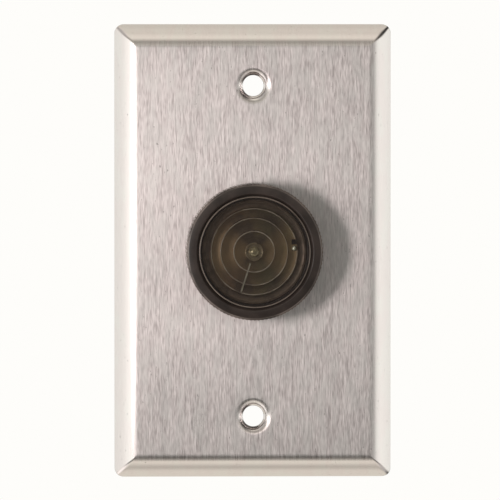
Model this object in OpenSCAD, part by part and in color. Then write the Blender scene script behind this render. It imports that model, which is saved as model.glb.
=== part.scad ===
// Rotary selector switch on a single-gang stainless wall plate.
//
// Every part is drawn as in a front elevation: x to the right, y up and z out of the wall,
// with z = 0 on the wall and the selector's axis at x = y = 0. upright() then stands the
// drawing up, so that the switch faces -Y, the box behind it is at +Y, and +Z is up.

/* [Wall plate] */
// Width of the plate
plate_w = 69.85; // [68:0.05:72]
// Height of the plate
plate_h = 114.3; // [110:0.1:118]
// Distance from the wall to the plate's face
plate_depth = 5.2; // [4.8:0.1:6]
// Thickness of the sheet
sheet_t = 0.9; // [0.7:0.1:1]
// Width of the curved border, seen from the front
border_w = 4.3; // [4:0.1:6]
// Radius of the border's curve
border_r = 9.7; // [8.5:0.1:12]
// Corner radius of the outline
corner_r = 2.4; // [2:0.1:4]
// Distance between the two box screw holes
screw_pitch = 83.34; // [82.5:0.01:84]
// Diameter of a box screw hole
screw_hole_d = 5.3; // [4.4:0.1:5.6]
// Diameter of the pressed dimple round a box screw hole
dimple_d = 8.2; // [7.6:0.1:9]

/* [Knob] */
// Diameter over the knurl
knob_d = 34.4; // [34:0.1:38]
// Height of the collar above the plate's face
knob_h = 10.2; // [10:0.1:11]
// Gap between the collar and the plate
knob_gap = 0.5; // [0.3:0.1:0.7]
// Number of knurl teeth
knurl_n = 108; // [60:2:120]
// Depth of the knurl
knurl_depth = 0.3; // [0.2:0.05:0.5]
// Diameter of the lens
lens_d = 28; // [27.6:0.1:28]
// Radii of the lens's ring steps
ring_radii = [5.3, 8.6, 11, 12.9];
// Direction of the pointer, anticlockwise from the right
pointer_angle = -108; // [-180:1:0]

/* [Operator] */
// Diameter of the threaded barrel
barrel_d = 22; // [21.8:0.1:22.2]
// Pitch of the barrel's thread
thread_pitch = 1.5; // [1:0.25:2]
// Diameter of the shaft
shaft_d = 8; // [7:0.1:8.4]
// Angle that the knob turns from its first to its last position
turn = 90; // [60:1:100]
// Stroke of each push rod over that angle
stroke = 3; // [2:0.1:3.2]
// Distance of each push rod from the axis
rod_x = 6.6; // [6.2:0.1:6.8]

/* [Contact blocks] */
// Width of one block
block_w = 12.4; // [12.2:0.1:12.6]
// Height of one block
block_h = 38; // [37:0.5:40]
// Depth of one block
block_d = 24; // [24:0.1:26]
// Wall thickness of the blocks
wall = 1; // [0.8:0.1:1.1]

/* [Hidden] */
$fn = 96;

over = 0.5;         // how far a cutting shape runs past what it cuts
play = 0.05;        // gap between nested parts that don't move
half_w = plate_w / 2;
face_z = plate_depth;
sheet_back_z = face_z - sheet_t;
dimple_depth = 1.4;
dimple_back_z = sheet_back_z - dimple_depth;

// Knob levels, from the plate outwards
gasket_t = 0.8;
flange_t = 2;
flange_r = 14.5;
gasket_z = face_z + gasket_t;
flange_z = gasket_z + flange_t;
knob_r = knob_d / 2;
collar_z = face_z + knob_gap;
collar_top_z = face_z + knob_h;
web_z = flange_z + 0.5;
web_t = 1.4;
web_top_z = web_z + web_t;
skirt_r = flange_r + 0.5;
lens_r = lens_d / 2;
lens_ledge_z = collar_top_z - 2.3;
lens_edge_z = collar_top_z - 0.2;
lens_crown = 0.45;
lens_tooth = 0.25;
lens_groove_w = 0.3;
lens_groove_h = 1.1;
lip_w = 0.45;
lip_h = 0.3;
ledge_r = 13.3;
disc_r = ledge_r - 0.1;
disc_t = 0.8;
disc_z = web_top_z + disc_t;
rib_w = 0.3;
rib_h = 0.3;
pointer_in_r = 3.1;
pointer_out_r = 10.6;
pointer_w = 0.4;
pin_at = [10.1, 0.9];
pin_r = 0.7;
notch_from = [9.3, 2.1];
notch_to = [10.8, 3.4];
hub_r = 5.2;
knob_screw_head_h = 0.8;
knob_screw_head_r = 1.9;
cap_r = 2.3;
cap_h = 2.1;
cap_flange_h = 1.15;
cap_nub_r = 1.35;

// Operator levels, from the plate inwards
barrel_r = barrel_d / 2;
barrel_back_z = -13.2;
thread_depth = 0.7;
thread_back_z = -7.5;
chamber_r = 9.2;
chamber_front_z = 4;
bearing_play = 0.05;
shaft_r = shaft_d / 2;
seal_z = 6;
seal_wire_r = 0.75;
spigot = 5;
shaft_square = 5.6;
shaft_square_z = -1;
rotor_r = chamber_r - 0.2;
rotor_front_z = 3.8;
rotor_back_z = -6;
screw_r = 1.45;
washer_t = 1;
nut_z = sheet_back_z - washer_t;
nut_t = 5;
nut_flats = 30;
key_w = 3;
key_r = 12.7;

// Cam ramp: its height grows by stroke over turn, with run-outs past both ends
ramp_in_r = 4.6;
ramp_out_r = 8.8;
ramp_low = 1;
run_out = 15;
ramp_slope = stroke / (rod_x * turn * PI / 180);
rod_r = 1.5;
rod_gap = 0.12;
rod_tip_z = rotor_back_z - ramp_low - rod_r * sqrt(1 + ramp_slope * ramp_slope) - rod_gap;
rod_pad_r = 2.3;
rod_pad_t = 1;

// Detent: balls in the rotor ride over grooves in the barrel
ball_r = 1.5;
ball_z = -3;
ball_centre_r = chamber_r - play - ball_r;
detent_step = 45;

// Contact blocks
carrier_w = 30;
carrier_h = 44;
carrier_front_z = -8.2;
block_front_z = barrel_back_z - 1;
block_back_z = block_front_z - block_d;
block_in_x = 0.4;
block_out_x = block_in_x + block_w;
cover_x = block_out_x - wall;
cavity_front_z = block_front_z - wall;
cavity_back_z = block_back_z + wall;
rod_back_z = cavity_front_z - 0.2;
plunger_w = 4.8;
plunger_h = 6;
plunger_len = 11.6;
bridge_z = rod_back_z - 8.6;
bridge_t = 0.8;
bridge_w = 4;
bridge_len = 23;
tip_y = 9.2;
tip_t = 0.6;
tip_r = 1.6;
contact_gap = 0.05;
fixed_tip_z = bridge_z - bridge_t - tip_t - stroke - contact_gap;
strip_t = 1;
strip_w = 4.8;
strip_z = fixed_tip_z - tip_t;
pad_z = strip_z - 3;
pad_y = 11;
terminal_y = 14.5;
clamp_z = pad_z - strip_t - 1.6;
clamp_t = 1;
terminal_screw_r = 1.75;
terminal_head_r = 2.9;
terminal_head_h = 2.1;
groove_w = 1;
groove_pitch = 2.2;
groove_span = 3 * groove_pitch;
block_screw_r = 1;
block_screw_head_r = 1.7;
block_screw_x = 10.4;
block_screw_y = 9;
boss_r = 1.35;
shelf_y = 12.2;
clamp_half_w = 2.9;
carrier_mid_z = (carrier_front_z + block_front_z) / 2;
carrier_bore_r = 1.75;
carrier_head_r = 2.9;
carrier_slot_y = carrier_h / 2 - 3.6;
carrier_slot_h = 1.6;
RIGHT = 1;
LEFT = -1;

// Shapes used by more than one part

module upright() rotate([90, 0, 0]) children();

// A cylinder of radius r from z0 to z1.
module rod(r, z0, z1) translate([0, 0, min(z0, z1)]) cylinder(r = r, h = abs(z1 - z0));

// A flat ring from z0 to z1.
module ring(r_out, r_in, z0, z1) difference() {
    rod(r_out, z0, z1);
    rod(r_in, min(z0, z1) - over, max(z0, z1) + over);
}

// A box given by its two corners.
module block(from, to) translate([for (i = [0:2]) min(from[i], to[i])])
    cube([for (i = [0:2]) abs(to[i] - from[i])]);

// The children at (x, y) and (x, -y).
module above_and_below(y) {
    translate([0, y, 0]) children();
    translate([0, -y, 0]) children();
}

// The right block's parts as they are, or mirrored for the left block.
module on_side(side) mirror([side == LEFT ? 1 : 0, 0, 0]) children();

// A helical wire along +z, of mean radius r, closed at both ends.
module coil(r, wire_r, length, turns, steps = 16, sides = 6) {
    count = turns * steps;
    points = [
        for (i = [0:count], j = [0:sides - 1])
            let (
                a = 360 * i / steps,
                b = 360 * j / sides,
                rr = r + wire_r * cos(b),
                z = wire_r + (length - 2 * wire_r) * i / count + wire_r * sin(b)
            )
            [rr * cos(a), rr * sin(a), z]
    ];
    sides_faces = [
        for (i = [0:count - 1], j = [0:sides - 1], k = [0:1])
            let (
                p = i * sides + j,
                q = i * sides + (j + 1) % sides
            )
            k == 0 ? [p, q, q + sides] : [p, q + sides, p + sides]
    ];
    first = [for (j = [sides - 1:-1:0]) j];
    last = [for (j = [0:sides - 1]) count * sides + j];
    polyhedron(points = points, faces = concat([first], sides_faces, [last]));
}

// A cross recess for a screw head whose top is at z = 0, cut towards -z.
module cross_recess(size, depth) {
    for (a = [0, 90]) rotate([0, 0, a])
        block([-size / 2, -size / 8, -depth], [size / 2, size / 8, over]);
}

// Wall plate

// Half-width at which the border's curve is centred, for a dish of this half-width.
function border_centre(half) =
    let (
        chord = [border_w, -plate_depth],
        len = norm(chord),
        rise = sqrt(border_r * border_r - len * len / 4)
    )
    [half - border_w / 2 - plate_depth / len * rise, plate_depth / 2 - border_w / len * rise];

// Cross-section of the dish: flat to the border's curve, then round to the rim. The curved part
// starts a little inside the flat one, so that no seam is left between them.
module dish_section(half, top, r, join) {
    centre = border_centre(half);
    start = join - over;
    translate([-join, -over]) square([2 * join, top + over]);
    for (s = [0, 1]) mirror([s, 0]) intersection() {
        translate(centre) circle(r = r, $fn = 180);
        translate([start, -over]) square([half - start, top + over]);
    }
}

// A dish whose four sides follow one cross-section, so that they meet in mitres.
module dish(top, r, inset) {
    long = plate_h + 2 * over;
    intersection() {
        rotate([90, 0, 0]) linear_extrude(long, center = true)
            dish_section(half_w, top, r, half_w - border_w - inset);
        rotate([90, 0, 90]) linear_extrude(long, center = true)
            dish_section(plate_h / 2, top, r, plate_h / 2 - border_w - inset);
        linear_extrude(top + over) rounded_rect(plate_w, plate_h, corner_r);
    }
}

module rounded_rect(w, h, r) {
    square([w - 2 * r, h], center = true);
    square([w, h - 2 * r], center = true);
    for (sx = [-1, 1], sy = [-1, 1])
        translate([sx * (w / 2 - r), sy * (h / 2 - r)]) circle(r = r);
}

module inside_of_dish() {
    inner = border_r - sheet_t;
    translate([0, 0, -over]) intersection() {
        translate([0, 0, over]) dish_hollow(inner);
        linear_extrude(plate_depth + over)
            rounded_rect(plate_w - 2 * sheet_t, plate_h - 2 * sheet_t, corner_r - sheet_t);
    }
}

module dish_hollow(inner) {
    long = plate_h + 2 * over;
    join_w = border_centre(half_w)[0];
    join_h = border_centre(plate_h / 2)[0];
    intersection() {
        rotate([90, 0, 0]) linear_extrude(long, center = true)
            dish_section(half_w, sheet_back_z, inner, join_w);
        rotate([90, 0, 90]) linear_extrude(long, center = true)
            dish_section(plate_h / 2, sheet_back_z, inner, join_h);
    }
}

// A screw hole pressed inwards, with the sheet following behind it.
module dimple_metal() translate([0, 0, dimple_back_z])
    cylinder(r1 = screw_hole_d / 2 + sheet_t, r2 = dimple_d / 2 + sheet_t, h = dimple_depth + play);

module dimple_hole() {
    translate([0, 0, face_z - dimple_depth])
        cylinder(r1 = screw_hole_d / 2, r2 = dimple_d / 2, h = dimple_depth);
    rod(dimple_d / 2, face_z, face_z + over);
    rod(screw_hole_d / 2, dimple_back_z - over, face_z);
}

module wall_plate() color("silver") upright() difference() {
    union() {
        difference() {
            dish(face_z, border_r, 0);
            inside_of_dish();
        }
        above_and_below(screw_pitch / 2) dimple_metal();
    }
    above_and_below(screw_pitch / 2) dimple_hole();
    rod(barrel_r + 0.15, 0, face_z + over);
    block([-key_w / 2 - 0.1, 0, 0], [key_w / 2 + 0.1, key_r + 0.25, face_z + over]);
}

// Operator: the barrel through the plate and what holds it there

module panel_gasket() color("dimgray") upright() difference() {
    ring(flange_r - 0.2, barrel_r + 0.2, face_z, gasket_z);
    block([-key_w / 2 - 0.1, 0, 0], [key_w / 2 + 0.1, key_r + 0.25, gasket_z + over]);
}

module thread_section() {
    turns = floor((nut_z + 0.6 - thread_back_z) / thread_pitch);
    root = barrel_r - thread_depth;
    polygon(concat(
        [[0, barrel_back_z], [barrel_r, barrel_back_z], [barrel_r, thread_back_z]],
        [for (i = [0:turns - 1], k = [0:2])
            let (z = thread_back_z + i * thread_pitch)
            k == 0 ? [root, z + 0.45 * thread_pitch]
            : k == 1 ? [root, z + 0.55 * thread_pitch]
            : [barrel_r, z + thread_pitch]],
        [[barrel_r, gasket_z], [0, gasket_z]]
    ));
}

module operator_body() color("darkslategray") upright() difference() {
    union() {
        rotate_extrude() thread_section();
        rod(flange_r, gasket_z, flange_z);
        block([-key_w / 2, barrel_r - 1, sheet_back_z], [key_w / 2, key_r, gasket_z]);
    }
    rod(chamber_r, barrel_back_z - over, chamber_front_z);
    rod(shaft_r + bearing_play, 0, flange_z + over);
    rod(shaft_r + 2 * seal_wire_r, seal_z - seal_wire_r, seal_z + seal_wire_r);
    for (side = [0, 180], step = [0:detent_step:turn])
        rotate([0, 0, 90 + side - step]) translate([chamber_r - 0.3, 0, 0])
            rod(0.8, barrel_back_z - over, ball_z + 3);
}

module shaft_seal() color("black") upright() translate([0, 0, seal_z])
    rotate_extrude() translate([shaft_r + seal_wire_r - 0.02, 0])
        circle(r = seal_wire_r - 0.05, $fn = 24);

module lock_washer() color("lightgray") upright() difference() {
    union() {
        ring(15, barrel_r + 1.2, nut_z, sheet_back_z - play);
        for (a = [15:30:345]) rotate([0, 0, a])
            block([barrel_r + 0.2, -1, nut_z], [barrel_r + 2, 1, sheet_back_z - play]);
    }
    block([-key_w / 2 - 0.1, barrel_r - 1, 0], [key_w / 2 + 0.1, key_r + 0.3, face_z]);
}

module ring_nut() color("silver") upright() difference() {
    intersection() {
        rotate([0, 0, 30]) translate([0, 0, nut_z - nut_t])
            cylinder(d = nut_flats / cos(30), h = nut_t - play, $fn = 6);
        rotate_extrude() polygon([
            [0, nut_z - nut_t], [nut_flats / 2, nut_z - nut_t],
            [nut_flats / 2 + 1.7, nut_z - nut_t + 1], [nut_flats / 2 + 2.6, nut_z - nut_t + 1],
            [nut_flats / 2 + 2.6, nut_z], [0, nut_z]
        ]);
    }
    rod(barrel_r + play, nut_z - nut_t - over, nut_z + over);
}

// Knob: what turns in front of the plate

module knurl(r, z0, z1) translate([0, 0, z0]) linear_extrude(z1 - z0) polygon([
    for (i = [0:2 * knurl_n - 1])
        let (a = 180 * i / knurl_n, rr = i % 2 == 0 ? r : r - knurl_depth)
        [rr * cos(a), rr * sin(a)]
]);

// The knurled band stands proud of the collar's own outline, which is chamfered in front.
module collar_outline() {
    body_r = knob_r - knurl_depth - 0.1;
    polygon([
        [0, collar_z], [body_r - 0.3, collar_z], [body_r, collar_z + 0.3],
        [body_r, collar_top_z - 0.75], [body_r - 0.4, collar_top_z - 0.3],
        [lens_r + lens_groove_w + lip_w, collar_top_z], [0, collar_top_z]
    ]);
}

module knob_collar() color([0.2, 0.17, 0.15]) upright() difference() {
    union() {
        rotate_extrude() collar_outline();
        knurl(knob_r, collar_z + 0.5, collar_top_z - 0.9);
    }
    rod(skirt_r, collar_z - over, web_z);
    rod(hub_r + play, web_z - over, web_top_z + over);
    rod(ledge_r, web_top_z, collar_top_z);
    rod(lens_r + play, lens_ledge_z, collar_top_z + over);
    rod(lens_r + lens_groove_w, collar_top_z - lens_groove_h, collar_top_z + over);
    translate([0, 0, collar_top_z - lip_h]) cylinder(
        r1 = lens_r + lens_groove_w, r2 = lens_r + lens_groove_w + lip_w, h = lip_h + play);
    for (x = [-9, 9]) translate([x, 0, 0]) rod(0.75, web_z - over, web_top_z + over);
}

// The lens is clear through: a low crown in front, and ring steps on its back.
module lens_section() {
    crown_r = (lens_r * lens_r + lens_crown * lens_crown) / (2 * lens_crown);
    back = lens_ledge_z + 0.1;
    starts = concat([cap_r + 0.5], ring_radii);
    steps = len(ring_radii);
    intersection() {
        polygon(concat(
            [[0, back]],
            [for (i = [0:steps - 1], k = [0:1])
                k == 0 ? [starts[i], i == 0 ? back : back - lens_tooth] : [starts[i + 1], back]],
            [
                [ring_radii[steps - 1], lens_ledge_z], [lens_r, lens_ledge_z],
                [lens_r, lens_edge_z - 0.5], [lens_r - 0.45, lens_edge_z],
                [lens_r - 0.45, lens_edge_z + lens_crown], [0, lens_edge_z + lens_crown]
            ]
        ));
        translate([0, lens_edge_z + lens_crown - crown_r]) circle(r = crown_r, $fn = 360);
    }
}

module lens() color([0.25, 0.2, 0.15, 0.6]) upright() rotate_extrude() intersection() {
    lens_section();
    square([lens_r, collar_top_z + over]);
}

module index_disc() color([0.55, 0.47, 0.3]) upright() difference() {
    union() {
        rod(disc_r, web_top_z, disc_z);
        for (r = [for (i = [0:2]) ring_radii[i]]) ring(r, r - rib_w, disc_z - play, disc_z + rib_h);
        ring(disc_r, disc_r - 0.6, disc_z - play, disc_z + rib_h);
    }
    rod(screw_r + play, web_top_z - over, disc_z + over);
    translate(pin_at) rod(pin_r + play, web_top_z - over, disc_z + 1);
    block([notch_from.x, notch_from.y, web_top_z - over], [notch_to.x, notch_to.y, disc_z + 1]);
    rotate([0, 0, pointer_angle]) block([pointer_in_r - 0.05, -pointer_w / 2 - 0.05, disc_z - 0.3],
        [pointer_out_r + 0.05, pointer_w / 2 + 0.05, disc_z + 1]);
}

module pointer_line() color("ivory") upright() rotate([0, 0, pointer_angle])
    block([pointer_in_r, -pointer_w / 2, disc_z - 0.3],
        [pointer_out_r, pointer_w / 2, disc_z + rib_h + 0.1]);

module index_pin() color("gold") upright() translate(pin_at) {
    rod(pin_r, web_top_z, disc_z + 0.5);
    translate([0, 0, disc_z + 0.5]) sphere(r = pin_r, $fn = 32);
}

module hub_insert() color("goldenrod") upright() difference() {
    rod(hub_r, web_z, web_top_z);
    block([-spigot / 2 - play, -spigot / 2 - play, 0], [spigot / 2 + play, spigot / 2 + play, 20]);
}

module knob_screw() color("silver") upright() {
    difference() {
        rod(knob_screw_head_r, disc_z, disc_z + knob_screw_head_h);
        translate([0, 0, disc_z + knob_screw_head_h]) cross_recess(2.6, 0.5);
    }
    rod(screw_r, disc_z - 6.5, disc_z + play);
}

// A cap with a domed nub, which snaps over the knob screw's head.
module screw_cap() color("gold") upright() {
    top = disc_z + cap_h;
    dome_h = cap_h - cap_flange_h;
    dome_r = (cap_nub_r * cap_nub_r + dome_h * dome_h) / (2 * dome_h);
    difference() {
        union() {
            rod(cap_r, disc_z, disc_z + cap_flange_h);
            intersection() {
                rod(cap_nub_r, disc_z + cap_flange_h - play, top);
                translate([0, 0, top - dome_r]) sphere(r = dome_r);
            }
        }
        rod(knob_screw_head_r + play, disc_z - over, disc_z + knob_screw_head_h + play);
    }
}

module square_bar(side, z0, z1) block([-side / 2, -side / 2, z0], [side / 2, side / 2, z1]);

module shaft() color("lightsteelblue") upright() difference() {
    union() {
        rod(shaft_r, rotor_front_z, web_z - 0.15);
        square_bar(spigot, web_z - 0.15 - play, web_top_z - play);
        square_bar(shaft_square, shaft_square_z, rotor_front_z + play);
    }
    rod(screw_r + play, disc_z - 6.7, web_top_z + over);
    rod(screw_r + play, shaft_square_z - over, shaft_square_z + 3.6);
}

// Cam rotor: two helical ramps on its back face move the two push rods together

// Height of the ramps at angle a of the rotor; the rods rest at 0 and 180.
function ramp_height(a) =
    let (
        half_turn = a % 180,
        t = half_turn > 180 - run_out ? half_turn - 180 : half_turn,
        top = ramp_low + stroke * (1 + run_out / turn),
        bottom = ramp_low - stroke * run_out / turn,
        fall = (t - turn - run_out) / (180 - turn - 2 * run_out)
    )
    t <= turn + run_out ? ramp_low + stroke * t / turn : top + (bottom - top) * fall;

module ramp() {
    count = 72;
    points = [
        for (i = [0:count - 1], k = [0:3])
            let (
                a = 360 * i / count,
                r = k < 2 ? ramp_in_r : ramp_out_r,
                z = k % 3 == 0 ? rotor_back_z + 0.1 : rotor_back_z - ramp_height(a)
            )
            [r * cos(a), r * sin(a), z]
    ];
    faces = [
        for (i = [0:count - 1], k = [0:3], half = [0, 1])
            let (
                p = 4 * i + k,
                q = 4 * i + (k + 1) % 4,
                next = 4 * ((i + 1) % count) - 4 * i
            )
            half == 0 ? [p, q, q + next] : [p, q + next, p + next]
    ];
    polyhedron(points = points, faces = faces);
}

module rotor_cam() color("whitesmoke") upright() difference() {
    union() {
        rod(rotor_r, rotor_back_z, rotor_front_z - play);
        ramp();
    }
    square_bar(shaft_square + 2 * play, shaft_square_z - 0.2, rotor_front_z + over);
    rod(screw_r + 0.15, rotor_back_z, rotor_front_z);
    rod(2.8, rotor_back_z - over, rotor_back_z + 1.8);
    for (a = [90, 270]) rotate([0, 0, a]) translate([0, 0, ball_z]) rotate([0, 90, 0])
        rod(ball_r + play, 3.4, rotor_r + over);
}

module rotor_screw() color("silver") upright() {
    difference() {
        rod(2.6, rotor_back_z + 0.2, rotor_back_z + 1.8 - play);
        translate([0, 0, rotor_back_z + 0.2]) mirror([0, 0, 1]) cross_recess(3, 0.9);
    }
    rod(screw_r, rotor_back_z + 1.7, shaft_square_z + 3.4);
}

module detent_balls() color("silver") upright() for (a = [90, 270]) rotate([0, 0, a])
    translate([ball_centre_r, 0, ball_z]) sphere(r = ball_r, $fn = 48);

module detent_springs() color("gray") upright() for (a = [90, 270]) rotate([0, 0, a])
    translate([3.45, 0, ball_z]) rotate([0, 90, 0])
        coil(1.05, 0.2, ball_centre_r - ball_r - 3.55, 3, steps = 12);

// Push rods and what guides them

module rod_guide() color("whitesmoke") upright() difference() {
    union() {
        rod(chamber_r - 0.1, barrel_back_z, barrel_back_z + 2);
        rod(barrel_r - 0.2, block_front_z + play, barrel_back_z - play);
        rod(chamber_r - 1, block_front_z + play, barrel_back_z + 0.2);
    }
    for (s = [LEFT, RIGHT]) translate([s * rod_x, 0, 0])
        rod(rod_r + bearing_play, block_front_z - over, barrel_back_z + 3);
}

module push_rod(side) translate([side * rod_x, 0, 0]) {
    translate([0, 0, rod_tip_z]) sphere(r = rod_r, $fn = 48);
    rod(rod_r, rod_tip_z, rod_back_z);
    rod(rod_pad_r, rod_back_z + rod_pad_t, rod_back_z);
}

module push_rod_right() color("seagreen") upright() push_rod(RIGHT);
module push_rod_left() color("seagreen") upright() push_rod(LEFT);

// Carrier: clamps on the barrel and holds both contact blocks

module block_carrier() color("gray") upright() difference() {
    union() {
        translate([0, 0, block_front_z + play])
            linear_extrude(carrier_front_z - block_front_z - play)
                rounded_rect(carrier_w, carrier_h, 3);
        rod(13.6, carrier_front_z - play, carrier_front_z + 2);
    }
    rod(barrel_r + play, block_front_z - over, carrier_front_z + 3);
    translate([0, 0, carrier_mid_z]) rotate([-90, 0, 0]) {
        rod(carrier_bore_r, 0, carrier_h);
        rod(carrier_head_r + 0.2, carrier_h / 2 - 2, carrier_h);
    }
    for (x = [-1, 1], y = [-1, 1])
        translate([x * block_screw_x, y * block_screw_y, 0])
            rod(block_screw_r + play, block_front_z - over, carrier_front_z - 0.8);
    for (side = [LEFT, RIGHT]) above_and_below(carrier_slot_y)
        block([side * 5, -carrier_slot_h, carrier_front_z - 1.2],
            [side * (carrier_w / 2 - 4), carrier_slot_h, carrier_front_z + over]);
}

module carrier_screw() color("silver") upright() translate([0, 0, carrier_mid_z])
    rotate([-90, 0, 0]) difference() {
        union() {
            rod(carrier_bore_r - play, barrel_r + 0.1, carrier_h / 2 - 1.9);
            rod(carrier_head_r, carrier_h / 2 - 2, carrier_h / 2 - 0.2);
        }
        translate([0, 0, carrier_h / 2 - 0.2]) cross_recess(3.6, 1.1);
    }

module block_screws() color("silver") upright()
    for (x = [-1, 1], y = [-1, 1]) translate([x * block_screw_x, y * block_screw_y, 0]) {
        rod(block_screw_r, block_back_z - play, carrier_front_z - 1.2);
        translate([0, 0, block_back_z]) mirror([0, 0, 1]) difference() {
            rod(block_screw_head_r, 0, 1.3);
            translate([0, 0, 1.3]) cross_recess(2.2, 0.6);
        }
    }

// Contact blocks, drawn for the right side

module housing(side) on_side(side) difference() {
    union() {
        difference() {
            block([block_in_x, -block_h / 2, block_back_z], [cover_x, block_h / 2, block_front_z]);
            block([block_in_x + wall, -block_h / 2 + wall, cavity_back_z],
                [cover_x + over, block_h / 2 - wall, cavity_front_z]);
        }
        housing_ribs();
        mirror([0, 1, 0]) housing_ribs();
        translate([rod_x, 0, 0]) rod(1.2, cavity_back_z - play, cavity_back_z + 2.4);
    }
    above_and_below(block_screw_y) translate([block_screw_x, 0, 0])
        rod(block_screw_r + play, block_back_z - over, block_front_z + over);
    translate([rod_x, 0, 0]) rod(rod_pad_r + 0.3, cavity_front_z - 0.1, block_front_z + over);
    for (y = [-1, 1]) {
        translate([rod_x, y * terminal_y, 0]) {
            rod(terminal_head_r + 0.3, block_back_z - over, cavity_back_z + 0.1);
            rod(terminal_screw_r + 0.3, pad_z - 0.1, cavity_front_z - 4);
        }
        block([rod_x - 3.2, y * (block_h / 2 - wall - 0.1), pad_z - strip_t],
            [rod_x + 3.2, y * (block_h / 2 + over), clamp_z - clamp_t]);
        block([block_in_x - over, y * (block_h / 2 - wall / 2), cavity_front_z - 3],
            [cover_x - 1.5, y * (block_h / 2 + over), cavity_front_z - 4]);
    }
    for (y = [-groove_span:groove_pitch:groove_span])
        block([rod_x - 3.4, y - groove_w / 2, block_back_z - over],
            [rod_x + 3.4, y + groove_w / 2, block_back_z + wall / 2]);
}

// Ribs of the upper half: plunger guide, terminal shelf and screw boss.
module housing_ribs() {
    inner_x = block_in_x + wall - play;
    block([inner_x, plunger_h / 2 + 0.15, cavity_front_z + play],
        [cover_x - 0.1, plunger_h / 2 + 1.15, cavity_front_z - 5.5]);
    block([inner_x, shelf_y, fixed_tip_z + 1],
        [cover_x - 0.1, block_h / 2 - wall + play, pad_z + play]);
    translate([block_screw_x, block_screw_y, 0])
        rod(boss_r, cavity_back_z - play, cavity_front_z + play);
}

module cover(side) on_side(side) {
    block([cover_x, -block_h / 2, block_back_z], [block_out_x, block_h / 2, block_front_z]);
}

// The plunger carries the bridge in a slot, and ends in a peg inside its spring.
module plunger(side) on_side(side) translate([rod_x, 0, 0]) {
    back = rod_back_z - plunger_len;
    difference() {
        union() {
            block([-plunger_w / 2, -plunger_h / 2, back], [plunger_w / 2, plunger_h / 2, rod_back_z]);
            rod(1.2, back - 2, back + play);
        }
        block([-bridge_w / 2 - play, -plunger_h, bridge_z + play],
            [bridge_w / 2 + play, plunger_h, bridge_z - bridge_t - play]);
    }
}

module return_spring(side) on_side(side) {
    front = rod_back_z - plunger_len - play;
    translate([rod_x, 0, cavity_back_z + play])
        coil(1.75, 0.3, front - cavity_back_z - play, 7);
}

module bridge(side) on_side(side) translate([rod_x, 0, 0])
    block([-bridge_w / 2, -bridge_len / 2, bridge_z - bridge_t],
        [bridge_w / 2, bridge_len / 2, bridge_z]);

module bridge_tips(side) on_side(side) translate([rod_x, 0, 0])
    above_and_below(tip_y) rod(tip_r, bridge_z - bridge_t, bridge_z - bridge_t - tip_t);

module fixed_tips(side) on_side(side) translate([rod_x, 0, 0])
    above_and_below(tip_y) rod(tip_r, fixed_tip_z, strip_z);

// A strip from the fixed tip, stepped back to the pad under the terminal screw.
module terminals(side) on_side(side) translate([rod_x, 0, 0]) for (m = [0, 1])
    mirror([0, m, 0]) difference() {
        union() {
            block([-strip_w / 2, tip_y - 2, strip_z - strip_t], [strip_w / 2, pad_y + strip_t, strip_z]);
            block([-strip_w / 2, pad_y, pad_z - strip_t], [strip_w / 2, pad_y + strip_t, strip_z]);
            block([-strip_w / 2, pad_y, pad_z - strip_t], [strip_w / 2, 17.8, pad_z]);
        }
        translate([0, terminal_y, 0])
            rod(terminal_screw_r + play, pad_z - strip_t - over, pad_z + over);
    }

module wire_clamps(side) on_side(side) translate([rod_x, 0, 0])
    above_and_below(terminal_y) difference() {
        block([-clamp_half_w, -clamp_half_w, clamp_z - clamp_t],
            [clamp_half_w, clamp_half_w + 0.4, clamp_z]);
        rod(terminal_screw_r + play, clamp_z - clamp_t - over, clamp_z + over);
    }

module terminal_screws(side) on_side(side) translate([rod_x, 0, 0])
    above_and_below(terminal_y) {
        head_z = clamp_z - clamp_t;
        rod(terminal_screw_r, head_z, pad_z + 2.2);
        difference() {
            rod(terminal_head_r, head_z, head_z - terminal_head_h);
            translate([0, 0, head_z - terminal_head_h]) mirror([0, 0, 1]) cross_recess(4, 1);
        }
    }

module block_housing_right() color("dimgray") upright() housing(RIGHT);
module block_cover_right() color([0.8, 0.85, 0.85, 0.4]) upright() cover(RIGHT);
module plunger_right() color("seagreen") upright() plunger(RIGHT);
module return_spring_right() color("gray") upright() return_spring(RIGHT);
module bridge_right() color("darkorange") upright() bridge(RIGHT);
module bridge_tips_right() color("silver") upright() bridge_tips(RIGHT);
module terminals_right() color("goldenrod") upright() terminals(RIGHT);
module fixed_tips_right() color("silver") upright() fixed_tips(RIGHT);
module terminal_screws_right() color("lightgray") upright() terminal_screws(RIGHT);
module wire_clamps_right() color("lightgray") upright() wire_clamps(RIGHT);

module block_housing_left() color("dimgray") upright() housing(LEFT);
module block_cover_left() color([0.8, 0.85, 0.85, 0.4]) upright() cover(LEFT);
module plunger_left() color("seagreen") upright() plunger(LEFT);
module return_spring_left() color("gray") upright() return_spring(LEFT);
module bridge_left() color("darkorange") upright() bridge(LEFT);
module bridge_tips_left() color("silver") upright() bridge_tips(LEFT);
module terminals_left() color("goldenrod") upright() terminals(LEFT);
module fixed_tips_left() color("silver") upright() fixed_tips(LEFT);
module terminal_screws_left() color("lightgray") upright() terminal_screws(LEFT);
module wire_clamps_left() color("lightgray") upright() wire_clamps(LEFT);

wall_plate();
panel_gasket();
operator_body();
shaft_seal();
lock_washer();
ring_nut();
knob_collar();
lens();
index_disc();
pointer_line();
index_pin();
hub_insert();
knob_screw();
screw_cap();
shaft();
rotor_cam();
rotor_screw();
detent_balls();
detent_springs();
rod_guide();
push_rod_right();
push_rod_left();
block_carrier();
carrier_screw();
block_screws();
block_housing_right();
block_cover_right();
plunger_right();
return_spring_right();
bridge_right();
bridge_tips_right();
terminals_right();
fixed_tips_right();
terminal_screws_right();
wire_clamps_right();
block_housing_left();
block_cover_left();
plunger_left();
return_spring_left();
bridge_left();
bridge_tips_left();
terminals_left();
fixed_tips_left();
terminal_screws_left();
wire_clamps_left();
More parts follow.
